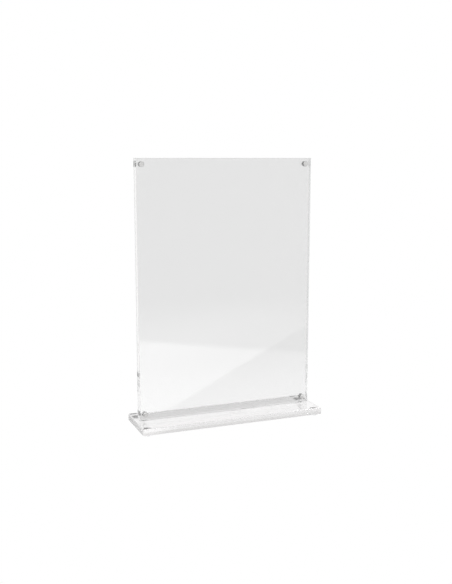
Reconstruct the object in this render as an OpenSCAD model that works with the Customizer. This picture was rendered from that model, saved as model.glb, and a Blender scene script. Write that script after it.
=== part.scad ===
// Clear acrylic picture frame that stands upright on a clear foot plate.
// Two sheets hold a picture between them, pulled together by a pair of disc magnets at each corner.
// Units are millimetres. +X is right seen from the front, +Y is back, +Z is up.
// The origin is on the surface the feet stand on, below the middle of the base plate.

/* [Panels] */
// Width of both panels
panel_w = 222; // [160:1:300]
// Height of the front panel, and of the rear panel above the base
panel_h = 309; // [220:1:420]
// Thickness of each panel
panel_t = 5; // [5:0.5:8]
// Chamfer along the panels' polished edges
panel_chamfer = 0.4; // [0.2:0.1:0.8]
// Gap between the two panels, where the picture goes
picture_gap = 0.3; // [0.2:0.1:1]
// Clearance between the front panel's bottom edge and the base
front_clearance = 0.2; // [0.1:0.1:0.5]

/* [Base plate] */
// How far the base plate reaches past the panels at each side
base_margin = 5; // [3:0.5:20]
// Depth of the base plate, front to back
base_d = 65; // [60:1:100]
// Thickness of the base plate
base_t = 8.5; // [8:0.5:15]
// Chamfer along the base plate's edges
base_chamfer = 0.8; // [0.4:0.1:1.5]
// Distance of the front panel's front face in front of the base plate's middle
panel_forward = 3; // [0:0.5:6]
// Depth of the groove that holds the rear panel
groove_depth = 4; // [3:0.5:5]
// Clearance round the rear panel in its groove, on each side and below
groove_clearance = 0.1; // [0.05:0.05:0.3]

/* [Magnets] */
// Diameter of the disc magnets
magnet_d = 6; // [4:0.5:10]
// Thickness of the disc magnets
magnet_t = 4; // [2:0.5:4]
// Distance of each magnet's centre from the nearest edges of the front panel
magnet_inset = 7; // [6:0.5:15]
// Clearance round each magnet in its pocket, on each side and behind
pocket_clearance = 0.05; // [0.02:0.01:0.1]

/* [Feet] */
// Diameter of a foot where it is stuck to the base plate
foot_d = 10; // [8:0.5:12]
// Diameter of the flat that a foot stands on
foot_flat_d = 7; // [4:0.5:8]
// Height of a foot
foot_h = 2; // [1:0.5:4]
// Distance of each foot's centre from the nearest edges of the base plate
foot_inset = 7.5; // [7:0.5:15]

/* [Hidden] */

left = -1;
right = 1;
front = -1;
back = 1;
bottom = -1;
top = 1;

base_w = panel_w + 2 * base_margin;
base_top = foot_h + base_t;

// Faces of the panels along Y, from front to back
front_face = -panel_forward;
front_mating_face = front_face + panel_t;
rear_mating_face = front_mating_face + picture_gap;

// Ends of the panels along Z
front_bottom = base_top + front_clearance;
panel_top = front_bottom + panel_h;
groove_floor = base_top - groove_depth;
rear_bottom = groove_floor + groove_clearance;

// Middle of the front panel, and how far the magnets are from it
panel_mid_z = (front_bottom + panel_top) / 2;
magnet_x = panel_w / 2 - magnet_inset;
magnet_z = panel_h / 2 - magnet_inset;
magnet_edge = 0.3;

foot_x = base_w / 2 - foot_inset;
foot_y = base_d / 2 - foot_inset;
// The foot's rounded side is part of a ball, centred this high above the foot's flat
foot_ball_z = (pow(foot_d, 2) / 4 + pow(foot_h, 2) - pow(foot_flat_d, 2) / 4) / (2 * foot_h);
foot_ball_r = sqrt(pow(foot_flat_d, 2) / 4 + pow(foot_ball_z, 2));

// Small overlap that keeps a cut from ending flush with a face
cut = 0.5;
$fn = 72;

// A rectangle with its middle at the origin and its corners cut at 45 degrees
module chamfered_rectangle(x, y, c) {
    polygon([
        [-x / 2 + c, -y / 2], [x / 2 - c, -y / 2],
        [x / 2, -y / 2 + c], [x / 2, y / 2 - c],
        [x / 2 - c, y / 2], [-x / 2 + c, y / 2],
        [-x / 2, y / 2 - c], [-x / 2, -y / 2 + c]
    ]);
}

// A block with every edge chamfered. It is centred on X, and starts at Y = 0 and Z = 0.
module chamfered_block(x, y, z, c) {
    translate([0, y / 2, z / 2])
        intersection() {
            linear_extrude(z, center = true)
                chamfered_rectangle(x, y, c);
            rotate([90, 0, 0])
                linear_extrude(y, center = true)
                    chamfered_rectangle(x, z, c);
            rotate([90, 0, 90])
                linear_extrude(x, center = true)
                    chamfered_rectangle(y, z, c);
        }
}

// Children are placed where a magnet's axis meets a mating face. Their +Z points to the back.
module at_magnet(side, level, face_y) {
    translate([side * magnet_x, face_y, panel_mid_z + level * magnet_z])
        rotate([-90, 0, 0])
            children();
}

// The four pockets in one panel, cut from its mating face. The direction is front or back.
module magnet_pockets(face_y, direction) {
    depth = magnet_t + pocket_clearance;
    for (side = [left, right], level = [bottom, top])
        at_magnet(side, level, face_y)
            translate([0, 0, direction == front ? -depth : -cut])
                cylinder(d = magnet_d + 2 * pocket_clearance, h = depth + cut);
}

// A disc magnet with broken edges, standing on Z = 0
module disc_magnet() {
    r = magnet_d / 2;
    rotate_extrude()
        polygon([
            [0, 0], [r - magnet_edge, 0], [r, magnet_edge],
            [r, magnet_t - magnet_edge], [r - magnet_edge, magnet_t], [0, magnet_t]
        ]);
}

module front_magnet(side, level) {
    color("silver")
        at_magnet(side, level, front_mating_face)
            translate([0, 0, -magnet_t])
                disc_magnet();
}

module rear_magnet(side, level) {
    color("silver")
        at_magnet(side, level, rear_mating_face)
            disc_magnet();
}

// A bumper foot: flat on top, a smaller flat below, and a rounded side between them
module foot(side, end) {
    color("gainsboro", 0.8)
        translate([side * foot_x, end * foot_y, 0])
            intersection() {
                cylinder(d = foot_d, h = foot_h);
                translate([0, 0, foot_ball_z])
                    sphere(r = foot_ball_r);
            }
}

module base_plate() {
    groove_w = panel_w + 2 * groove_clearance;
    groove_t = panel_t + 2 * groove_clearance;
    color("aliceblue", 0.4)
        difference() {
            translate([0, -base_d / 2, foot_h])
                chamfered_block(base_w, base_d, base_t, base_chamfer);
            translate([-groove_w / 2, rear_mating_face - groove_clearance, groove_floor])
                cube([groove_w, groove_t, groove_depth + cut]);
        }
}

module rear_panel() {
    color("aliceblue", 0.4)
        difference() {
            translate([0, rear_mating_face, rear_bottom])
                chamfered_block(panel_w, panel_t, panel_top - rear_bottom, panel_chamfer);
            magnet_pockets(rear_mating_face, back);
        }
}

module front_panel() {
    color("aliceblue", 0.4)
        difference() {
            translate([0, front_face, front_bottom])
                chamfered_block(panel_w, panel_t, panel_h, panel_chamfer);
            magnet_pockets(front_mating_face, front);
        }
}

base_plate();
rear_panel();
front_panel();
front_magnet(left, top);  // front_magnet_top_left
front_magnet(right, top);  // front_magnet_top_right
front_magnet(left, bottom);  // front_magnet_bottom_left
front_magnet(right, bottom);  // front_magnet_bottom_right
rear_magnet(left, top);  // rear_magnet_top_left
rear_magnet(right, top);  // rear_magnet_top_right
rear_magnet(left, bottom);  // rear_magnet_bottom_left
rear_magnet(right, bottom);  // rear_magnet_bottom_right
foot(left, front);  // foot_front_left
foot(right, front);  // foot_front_right
foot(left, back);  // foot_back_left
foot(right, back);  // foot_back_right
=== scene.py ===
import math

import bmesh
import bpy
from mathutils import Matrix, Vector


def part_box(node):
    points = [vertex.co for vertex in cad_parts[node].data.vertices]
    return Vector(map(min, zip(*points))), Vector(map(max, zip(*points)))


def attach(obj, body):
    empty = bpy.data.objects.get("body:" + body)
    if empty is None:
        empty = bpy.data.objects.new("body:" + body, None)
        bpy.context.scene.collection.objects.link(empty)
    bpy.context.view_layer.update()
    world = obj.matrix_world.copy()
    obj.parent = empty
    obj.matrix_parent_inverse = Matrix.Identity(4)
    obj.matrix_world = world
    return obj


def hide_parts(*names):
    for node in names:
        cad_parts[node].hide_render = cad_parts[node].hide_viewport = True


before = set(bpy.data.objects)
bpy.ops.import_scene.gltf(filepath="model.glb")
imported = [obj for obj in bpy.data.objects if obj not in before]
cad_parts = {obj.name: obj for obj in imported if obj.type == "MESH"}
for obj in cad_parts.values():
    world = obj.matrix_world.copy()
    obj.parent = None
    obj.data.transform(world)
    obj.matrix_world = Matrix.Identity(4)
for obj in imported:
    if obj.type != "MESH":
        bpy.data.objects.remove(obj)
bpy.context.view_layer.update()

MM = 0.001

CORNERS = ("top_left", "top_right", "bottom_left", "bottom_right")
FEET = ("front_left", "front_right", "back_left", "back_right")


# ---------------------------------------------------------------- camera

CAMERA_AT = Vector((-0.3647, -0.9187, 0.3200))
CAMERA_TURN = 21.645   # degrees from straight ahead (+Y) towards +X
CAMERA_DOWN = 9.227    # degrees below level
LENS = 50.95           # millimetres, on a 36 mm long side


def make_camera():
    data = bpy.data.cameras.new("camera")
    data.lens = LENS
    data.sensor_width = 36
    camera = bpy.data.objects.new("camera", data)
    camera.location = CAMERA_AT
    camera.rotation_euler = (math.radians(90 - CAMERA_DOWN), 0, math.radians(-CAMERA_TURN))
    bpy.context.scene.collection.objects.link(camera)
    bpy.context.scene.camera = camera


# ---------------------------------------------------------------- node helpers

def feed(tree, socket, value):
    """Sets a socket to a plain value, or links another socket to it."""
    if isinstance(value, bpy.types.NodeSocket):
        tree.links.new(value, socket)
    else:
        socket.default_value = value


def new_material(name):
    """A material with one Principled shader. Returns the material, its tree and the shader."""
    material = bpy.data.materials.new(name)
    material.use_nodes = True
    tree = material.node_tree
    return material, tree, tree.nodes["Principled BSDF"]


def maths(tree, operation, a, b=0.0):
    node = tree.nodes.new("ShaderNodeMath")
    node.operation = operation
    feed(tree, node.inputs[0], a)
    feed(tree, node.inputs[1], b)
    return node.outputs[0]


def vector_maths(tree, operation, a, b):
    """Vector maths. A dot product comes out of the Value socket, all else out of Vector."""
    node = tree.nodes.new("ShaderNodeVectorMath")
    node.operation = operation
    feed(tree, node.inputs[0], a)
    feed(tree, node.inputs["Scale" if operation == "SCALE" else 1], b)
    return node.outputs["Value" if operation == "DOT_PRODUCT" else "Vector"]


def ramp(tree, value, low, high, low_result, high_result):
    """A smooth change from one result to the other while the value goes from low to high."""
    node = tree.nodes.new("ShaderNodeMapRange")
    node.interpolation_type = "SMOOTHSTEP"
    node.inputs["From Min"].default_value = low
    node.inputs["From Max"].default_value = high
    feed(tree, node.inputs["To Min"], low_result)
    feed(tree, node.inputs["To Max"], high_result)
    feed(tree, node.inputs["Value"], value)
    return node.outputs[0]


def coordinates(tree, output="Object"):
    return tree.nodes.new("ShaderNodeTexCoord").outputs[output]


def noise(tree, scale, detail=2.0):
    """Smooth noise from 0 to 1. A larger scale makes finer noise; it may differ by axis."""
    node = tree.nodes.new("ShaderNodeTexNoise")
    node.inputs["Scale"].default_value = 1
    node.inputs["Detail"].default_value = detail
    feed(tree, node.inputs["Vector"], vector_maths(tree, "MULTIPLY", coordinates(tree), scale))
    return node.outputs[0]


def bump(tree, height, depth, below=None):
    """Surface relief this deep, in metres, on top of the relief below it."""
    node = tree.nodes.new("ShaderNodeBump")
    node.inputs["Distance"].default_value = depth
    feed(tree, node.inputs["Height"], height)
    if below is not None:
        feed(tree, node.inputs["Normal"], below)
    return node.outputs["Normal"]


def distance_past(tree, point, direction):
    """How far a point is past this one, in that direction. Both are (x, y, z)."""
    along = Vector(direction).normalized()
    far = vector_maths(tree, "DOT_PRODUCT", coordinates(tree), tuple(along))
    return maths(tree, "SUBTRACT", far, along.dot(Vector(point)))


def facing(tree, direction):
    """How far a face is turned towards this direction, from -1 to 1."""
    return vector_maths(tree, "DOT_PRODUCT", coordinates(tree, "Normal"), direction)


def by_face(tree, low, high, slanted):
    """One value for each way that a flat face can look, and one for chamfers and rims.

    The low values are for faces that look to -X, -Y and -Z, and the high ones for +X, +Y and +Z.
    """
    normal = coordinates(tree, "Normal")
    flat = 0
    result = 0
    for sign, values in ((-1, low), (1, high)):
        share = vector_maths(tree, "MAXIMUM", vector_maths(tree, "SCALE", normal, sign), (0, 0, 0))
        for _ in range(3):
            share = vector_maths(tree, "MULTIPLY", share, share)
        flat = maths(tree, "ADD", flat, vector_maths(tree, "DOT_PRODUCT", share, (1, 1, 1)))
        result = maths(tree, "ADD", result, vector_maths(tree, "DOT_PRODUCT", share, values))
    rest = maths(tree, "MULTIPLY", maths(tree, "SUBTRACT", 1, flat), slanted)
    return maths(tree, "ADD", result, rest)


# ---------------------------------------------------------------- materials

# Real cast acrylic has one tint. Here it differs by face, set by grey level until the main
# view looked like the photo.
ACRYLIC_IOR = 1.49
SMUDGE_SCALE = (14, 14, 14)
SMUDGE_ROUGHNESS = 0.006
WAVE_SCALE = (9, 9, 9)
WAVE_DEPTH = 0.01 * MM      # slow waves of cast sheet
STREAK_DEPTH = 0.002 * MM   # marks from polishing an edge

# Painted shade on top of the acrylic's one tint: the sheets' faces and edges, the rear sheet's
# ends, and the chamfers, darker on the right than on the left and darker still where they look
# down.
SHEET_TINT_AND_SHADE = 0.88           # the sheets' front and back faces
SHEET_EDGE_TINT_AND_SHADE = 0.95      # their top and bottom edges
FRONT_END_SHADE = 1          # the front sheet's left and right ends
REAR_END_SHADE = 0.84        # and the rear sheet's
LEFT_CHAMFER_SHADE = 0.85
RIGHT_CHAMFER_SHADE = 0.35
UNDER_CHAMFER_SHADE = 0.35   # chamfers that look down are this much darker still
SHEET_SAWN = (0.04, 0, 0.03)            # roughness of the faces along X, Y and Z
SHEET_STREAKS = (2, 3000, 2)

BASE_HUE = (1, 0.992, 0.992)
# Painted shade on top of the acrylic's one tint: the base's ends, its top and bottom a little, its
# chamfers that look down, its front face, and a painted shadow on all of it behind the sheets.
BASE_END_SHADE = 0.52        # the base's left and right ends
BASE_TOP_TINT_AND_SHADE = 0.96        # its top and bottom
BASE_CHAMFER_SHADE = 0.8     # chamfers that look down; those that look up are clear
BASE_FRONT_SHADE = (0.8, 0.63)           # its front face, at the left end and further along
BASE_FRONT_CHANGE = (8 * MM, 35 * MM)   # where that changes, from the left end
BEHIND_SHEETS_SHADOW = 0.84          # all of the base behind the sheets
BEHIND_START = (40 * MM, 41 * MM)       # where that starts, from the base's front
BASE_SAWN = (0.05, 0.03, 0)
BASE_STREAKS = (2, 2, 3000)


def acrylic(name, hue, make_tint_and_shade, sawn, streaks):
    """Clear cast acrylic with polished edges.

    The sawn roughness is for the faces along X, Y and Z. The streaks are the scale of the
    polishing marks along X, Y and Z: fine across the sheet's thickness and coarse along it.
    """
    material, tree, shader = new_material(name)
    # The base colour is the acrylic's tint with shade painted into it, face by face.
    tint_and_shade = make_tint_and_shade(tree)
    feed(tree, shader.inputs["Base Color"], vector_maths(tree, "SCALE", hue, tint_and_shade))
    smudges = ramp(tree, noise(tree, SMUDGE_SCALE, 5), 0.55, 0.8, 0, SMUDGE_ROUGHNESS)
    rough = maths(tree, "ADD", by_face(tree, sawn, sawn, max(sawn)), smudges)
    feed(tree, shader.inputs["Roughness"], rough)
    waves = bump(tree, noise(tree, WAVE_SCALE, 1), WAVE_DEPTH)
    marks = bump(tree, noise(tree, streaks, 2), STREAK_DEPTH, waves)
    feed(tree, shader.inputs["Normal"], marks)
    shader.inputs["Transmission Weight"].default_value = 1
    shader.inputs["IOR"].default_value = ACRYLIC_IOR
    return material


def sheet_tint_and_shade(tree, ends):
    """A sheet's tint and painted shade: shaded faces, clearer ends, darker chamfers. In the groove
    it is all clear.
    """
    sides = (ends, SHEET_TINT_AND_SHADE, SHEET_EDGE_TINT_AND_SHADE)
    rightwards = facing(tree, (1, 0, 0))
    chamfers = ramp(tree, rightwards, -0.5, 0.5, LEFT_CHAMFER_SHADE, RIGHT_CHAMFER_SHADE)
    under = ramp(tree, facing(tree, (0, 0, 1)), -0.6, -0.3, UNDER_CHAMFER_SHADE, 1)
    tint_and_shade = by_face(tree, sides, sides, maths(tree, "MULTIPLY", chamfers, under))
    base_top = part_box("base_plate")[1].z
    above = distance_past(tree, (0, 0, base_top), (0, 0, 1))
    return ramp(tree, above, -0.2 * MM, 0, 1, tint_and_shade)


def base_tint_and_shade(tree):
    """The base is clear, with painted shade on its front and ends, and painted shadow behind the
    sheets.
    """
    left_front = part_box("base_plate")[0]
    sides = (BASE_END_SHADE, 1, BASE_TOP_TINT_AND_SHADE)
    chamfers = ramp(tree, facing(tree, (0, 0, 1)), -0.5, 0.5, BASE_CHAMFER_SHADE, 1)
    tint_and_shade = by_face(tree, sides, sides, chamfers)
    along = distance_past(tree, left_front, (1, 0, 0))
    back = distance_past(tree, left_front, (0, 1, 0))
    front_shade = ramp(tree, along, *BASE_FRONT_CHANGE, *BASE_FRONT_SHADE)
    tint_and_shade = maths(tree, "MULTIPLY", tint_and_shade, ramp(tree, back, 0.1 * MM, 0.2 * MM, front_shade, 1))
    behind = ramp(tree, back, *BEHIND_START, 1, BEHIND_SHEETS_SHADOW)
    return maths(tree, "MULTIPLY", tint_and_shade, behind)


PLATE_HUE = (1.0, 0.995, 0.985)
PLATE_FACE = 0.78
PLATE_RIM_SHADE = 0.12
PLATE_ROUGHNESS = (0.16, 0.30)
FLECK_SCALE = (900, 900, 900)
PLATE_PITTING = 0.003 * MM


def nickel():
    """Nickel plate on a magnet: a bright turned face and a rim painted dark as shade."""
    material, tree, shader = new_material("nickel_plate")
    face = by_face(tree, (0, 1, 0), (0, 1, 0), 0)
    flecks = noise(tree, FLECK_SCALE, 4)
    # The rim is painted dark as shade in the pocket; only the face keeps the plate's bright colour.
    shade = ramp(tree, face, 0.15, 0.6, PLATE_RIM_SHADE, PLATE_FACE)
    shade = maths(tree, "MULTIPLY", shade, ramp(tree, flecks, 0.3, 0.7, 0.9, 1.0))
    feed(tree, shader.inputs["Base Color"], vector_maths(tree, "SCALE", PLATE_HUE, shade))
    feed(tree, shader.inputs["Roughness"], ramp(tree, flecks, 0.3, 0.7, *PLATE_ROUGHNESS))
    feed(tree, shader.inputs["Normal"], bump(tree, flecks, PLATE_PITTING))
    shader.inputs["Metallic"].default_value = 1
    return material


BUMPER_HUE = (0.98, 0.99, 1.0)
BUMPER_SHADE = 0.96
TOP_PAINTED_SHADE = 0.05
CLOUD_SCALE = (400, 400, 400)
BUMPER_ROUGHNESS = (0.12, 0.25)
BUMPER_CLARITY = 0.2
BUMPER_GRAIN = 0.01 * MM
BUMPER_IOR = 1.48


def bumper():
    """Milky soft bumper, with painted shade on its flat glued top."""
    material, tree, shader = new_material("milky_bumper")
    cloud = noise(tree, CLOUD_SCALE, 4)
    # The top's darkness is painted shade, seen through the base as dark arcs.
    top_shade = ramp(tree, facing(tree, (0, 0, 1)), 0.8, 0.95, BUMPER_SHADE, TOP_PAINTED_SHADE)
    shade = maths(tree, "MULTIPLY", top_shade, ramp(tree, cloud, 0.3, 0.7, 0.94, 1.0))
    feed(tree, shader.inputs["Base Color"], vector_maths(tree, "SCALE", BUMPER_HUE, shade))
    feed(tree, shader.inputs["Roughness"], ramp(tree, cloud, 0.3, 0.7, *BUMPER_ROUGHNESS))
    feed(tree, shader.inputs["Normal"], bump(tree, cloud, BUMPER_GRAIN))
    shader.inputs["Transmission Weight"].default_value = BUMPER_CLARITY
    shader.inputs["IOR"].default_value = BUMPER_IOR
    return material


def dress(node, material):
    """Gives a CAD node its finished material."""
    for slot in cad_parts[node].material_slots:
        slot.material = material


def dress_sheet(node, ends):
    """Gives one of the two sheets its acrylic, with this painted shade on its left and right ends.
    """

    def make_tint_and_shade(tree):
        return sheet_tint_and_shade(tree, ends)

    dress(node, acrylic(node + "_acrylic", (1, 1, 1), make_tint_and_shade, SHEET_SAWN, SHEET_STREAKS))


# ---------------------------------------------------------------- turned pieces

TURN_STEPS = 64         # segments round a turned piece
ARC_STEPS = 6           # segments in a rounded rim
SHARP_ANGLE = 35        # degrees between faces that still look smooth


def arc(middle, radius, start, end, steps=ARC_STEPS):
    """Points on a circle, as (distance from the axis, height). Angles are in degrees."""
    points = []
    for i in range(steps + 1):
        angle = math.radians(start + (end - start) * i / steps)
        points.append((middle[0] + radius * math.cos(angle), middle[1] + radius * math.sin(angle)))
    return points


def turned(name, profile, placement, material):
    """A solid of revolution about its Z axis, from a profile that starts and ends on the axis."""
    shape = bmesh.new()
    rings = []
    for radius, height in profile:
        count = TURN_STEPS if radius > 0 else 1
        angles = [2 * math.pi * i / TURN_STEPS for i in range(count)]
        spots = [(radius * math.cos(a), radius * math.sin(a), height) for a in angles]
        rings.append([shape.verts.new(spot) for spot in spots])
    for low, high in zip(rings, rings[1:]):
        for i in range(TURN_STEPS):
            j = i + 1
            below = [low[i % len(low)], low[j % len(low)]]
            above = [high[j % len(high)], high[i % len(high)]]
            shape.faces.new(list(dict.fromkeys(below + above)))
    bmesh.ops.recalc_face_normals(shape, faces=shape.faces)
    shape.transform(placement)
    mesh = bpy.data.meshes.new(name)
    shape.to_mesh(mesh)
    shape.free()
    mesh.materials.append(material)
    for face in mesh.polygons:
        face.use_smooth = True
    mesh.set_sharp_from_angle(angle=math.radians(SHARP_ANGLE))
    piece = bpy.data.objects.new(name, mesh)
    bpy.context.scene.collection.objects.link(piece)
    return piece


# ---------------------------------------------------------------- magnets

GLUE = 0.06 * MM        # the glue that fills the pocket is drawn as part of the magnet
MAGNET_RIM = 0.35 * MM  # radius of its rounded rims


def magnet_profile(radius, depth):
    """From the outer face, at height 0, up to the mating face."""
    rim = MAGNET_RIM
    outer = arc((radius - rim, rim), rim, -90, 0)
    inner = arc((radius - rim, depth - rim), rim, 0, 90)
    return [(0, 0)] + outer + inner + [(0, depth)]


def make_magnet(layer, corner, body, material):
    """A plated disc, glued into its pocket with its outer face against the acrylic."""
    node = layer + "_magnet_" + corner
    lo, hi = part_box(node)
    middle = (lo + hi) / 2
    depth = hi.y - lo.y + GLUE
    radius = (hi.x - lo.x) / 2 + GLUE
    if layer == "front":
        at, turn = (middle.x, lo.y - GLUE, middle.z), -90
    else:
        at, turn = (middle.x, hi.y + GLUE, middle.z), 90
    placement = Matrix.Translation(at) @ Matrix.Rotation(math.radians(turn), 4, "X")
    piece = turned(node + "_plated", magnet_profile(radius, depth), placement, material)
    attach(piece, body)
    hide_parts(node)


# ---------------------------------------------------------------- feet

FOOT_GAP = 0.03 * MM    # the air that its dry glue leaves below the base
FOOT_FLAT = 3.4 * MM    # radius of the flat that it stands on
FOOT_LIP = 0.3 * MM     # radius of the rounded edge round its top
SIDE_STEPS = 12         # segments up its domed side
SIDE_BULGE = 1.6        # a higher value bulges the side lower down
DIMPLE = [(0, 0.25 * MM), (1.2 * MM, 0.18 * MM), (2.1 * MM, 0.03 * MM), (2.4 * MM, 0)]


def foot_profile(radius, height):
    """From the flat on the floor up to the glued top: a low dome upside down, with a dimple."""
    top = height - FOOT_GAP
    side = []
    for i in range(SIDE_STEPS + 1):
        t = i / SIDE_STEPS
        across = FOOT_FLAT + (radius - FOOT_FLAT) * math.sin(t * math.pi / 2)
        side.append((across, (top - FOOT_LIP) * t ** SIDE_BULGE))
    lip = arc((radius - FOOT_LIP, top - FOOT_LIP), FOOT_LIP, 0, 60, 4)[1:]
    return DIMPLE + side + lip + [(radius - FOOT_LIP, top), (0, top)]


def make_foot(place, material):
    node = "foot_" + place
    lo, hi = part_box(node)
    middle = (lo + hi) / 2
    placement = Matrix.Translation((middle.x, middle.y, lo.z))
    profile = foot_profile((hi.x - lo.x) / 2, hi.z - lo.z)
    piece = turned(node + "_bumper", profile, placement, material)
    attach(piece, "base")
    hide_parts(node)


# ---------------------------------------------------------------- stage

# The card stands for an unseen bright room in front of the frame. Its glows and places, in metres
# and glow units, were set until the reflection on the front sheet looked like the photo's.
STAGE_REACH = 20        # metres from the object to the floor's edges
FLOOR_DROP = 0.05 * MM  # keeps the floor clear of the feet's flats
CARD_LIFT = 0.02 * MM   # and the glow card clear of the floor
CARD_REACH = 2          # metres from the middle to the glow card's far edge and its ends
PLAIN_GLOW = 1.0        # how bright the paper, the card and the backdrop are to begin with
NEAR_GLOW = 1.6         # how much brighter the card gets towards the object's front
SHEET_GLOW = 1.1        # and where a sheet of white paper lies on it
LIGHT_GLOW = 0.88       # and in the pool of light to the left, once off that sheet and twice on it
POOL_GLOW = 0.5         # and deeper into that pool
SHEET_CORNER = (0.20, -0.327, 0)    # where the pool of light crosses that sheet's far edge
TO_SHEET = (-0.17, 0.22, 0)         # from there across the sheet
TO_POOL = (-0.71, -0.70, 0)         # and into the pool
SHEET_BLUR = 0.03       # half the width of the sheet's soft edge
POOL_BLUR = 0.006       # and of the pool's
POOL_DEPTH = 0.2        # how far into the pool its glow still grows
CARD_START = (-0.055, -0.045)       # along Y, where the extra glow begins in front of the base
NEAR_FADE = (-0.36, -0.05)          # along Y, where the glow near the object fades out and is full
POOL_FADE = (-0.9, -0.4)            # along Y, the same for the pool
LEFT_FADE = (-0.25, -0.11)          # along X, the same for all extra glow
RIGHT_FADE = (0.3, 0.6)             # along X, where all extra glow is still full and fades out
LAMP_AT = Vector((-1.2, -1.6, 1.9))
LAMP_SIZE = 1.2
LAMP_POWER = 20


def glowing(name, make_level):
    """A material that only glows, as brightly as make_level(tree) says."""
    material = bpy.data.materials.new(name)
    material.use_nodes = True
    tree = material.node_tree
    tree.nodes.clear()
    glow = tree.nodes.new("ShaderNodeEmission")
    feed(tree, glow.inputs["Strength"], make_level(tree))
    output = tree.nodes.new("ShaderNodeOutputMaterial")
    tree.links.new(glow.outputs[0], output.inputs["Surface"])
    return material


def card_level(tree):
    """Brighter near the object, on a sheet of white paper, and in a pool of light on the left.

    All of it fades to both sides, so that it washes out less of a sheet that is seen from the side.
    """
    x = distance_past(tree, (0, 0, 0), (1, 0, 0))
    y = distance_past(tree, (0, 0, 0), (0, 1, 0))
    in_front = ramp(tree, y, *CARD_START, 1, 0)
    near = ramp(tree, y, *NEAR_FADE, 0, NEAR_GLOW)
    over_edge = distance_past(tree, SHEET_CORNER, TO_SHEET)
    on_sheet = ramp(tree, over_edge, -SHEET_BLUR, SHEET_BLUR, 0, 1)
    inwards = distance_past(tree, SHEET_CORNER, TO_POOL)
    edge = ramp(tree, inwards, -POOL_BLUR, POOL_BLUR, 0, LIGHT_GLOW)
    lit = maths(tree, "ADD", edge, ramp(tree, inwards, 0, POOL_DEPTH, 0, POOL_GLOW))
    far_fade = ramp(tree, y, *POOL_FADE, 0, 1)
    sheet = maths(tree, "MULTIPLY", on_sheet, SHEET_GLOW)
    light = maths(tree, "MULTIPLY", lit, maths(tree, "ADD", on_sheet, 1))
    light = maths(tree, "MULTIPLY", light, far_fade)
    extra = maths(tree, "ADD", near, maths(tree, "ADD", sheet, light))
    left_fade = ramp(tree, x, *LEFT_FADE, 0, 1)
    right_fade = ramp(tree, x, *RIGHT_FADE, 1, 0)
    side_fade = maths(tree, "MULTIPLY", left_fade, right_fade)
    extra = maths(tree, "MULTIPLY", extra, maths(tree, "MULTIPLY", in_front, side_fade))
    return maths(tree, "ADD", extra, PLAIN_GLOW)


def make_flat(name, low, high, height, material):
    """A level rectangle of the stage, between two (x, y) corners."""
    corners = [(low[0], low[1]), (high[0], low[1]), (high[0], high[1]), (low[0], high[1])]
    mesh = bpy.data.meshes.new(name)
    mesh.from_pydata([(x, y, height) for x, y in corners], [], [range(4)])
    mesh.materials.append(material)
    flat = bpy.data.objects.new(name, mesh)
    bpy.context.scene.collection.objects.link(flat)
    return flat


def make_floor():
    r = STAGE_REACH
    paper = glowing("floor_paper", lambda tree: PLAIN_GLOW)
    make_flat("floor", (-r, -r), (r, r), -FLOOR_DROP, paper)


def make_card():
    """A glow card on the floor in front, which only shows as a reflection."""
    r = CARD_REACH
    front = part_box("base_plate")[0].y
    paper = glowing("card_paper", card_level)
    card = make_flat("card", (-r, -r), (r, front), CARD_LIFT - FLOOR_DROP, paper)
    card.visible_camera = False
    card.visible_transmission = False


def make_lamp():
    data = bpy.data.lights.new("softbox", "AREA")
    data.shape = "SQUARE"
    data.size = LAMP_SIZE
    data.energy = LAMP_POWER
    lamp = bpy.data.objects.new("softbox", data)
    lamp.location = LAMP_AT
    lamp.rotation_mode = "QUATERNION"
    lamp.rotation_quaternion = (-LAMP_AT).to_track_quat("-Z", "Y")
    bpy.context.scene.collection.objects.link(lamp)


def make_world():
    world = bpy.data.worlds.new("studio")
    world.use_nodes = True
    background = world.node_tree.nodes["Background"]
    background.inputs["Color"].default_value = (1, 1, 1, 1)
    background.inputs["Strength"].default_value = PLAIN_GLOW
    bpy.context.scene.world = world


def set_rendering():
    """Light can cross a sheet from edge to edge in some forty bounces, so the paths are long."""
    scene = bpy.context.scene
    scene.view_settings.view_transform = "Standard"
    scene.cycles.max_bounces = 128
    scene.cycles.transmission_bounces = 64
    scene.cycles.glossy_bounces = 96


# ---------------------------------------------------------------- the object

def make_object():
    dress_sheet("front_panel", FRONT_END_SHADE)
    dress_sheet("rear_panel", REAR_END_SHADE)
    dress("base_plate", acrylic("base_acrylic", BASE_HUE, base_tint_and_shade, BASE_SAWN, BASE_STREAKS))
    plate = nickel()
    for corner in CORNERS:
        make_magnet("front", corner, "front_sheet", plate)
        make_magnet("rear", corner, "rear_sheet", plate)
    milky = bumper()
    for place in FEET:
        make_foot(place, milky)


make_camera()
make_floor()
make_card()
make_lamp()
make_world()
set_rendering()
make_object()
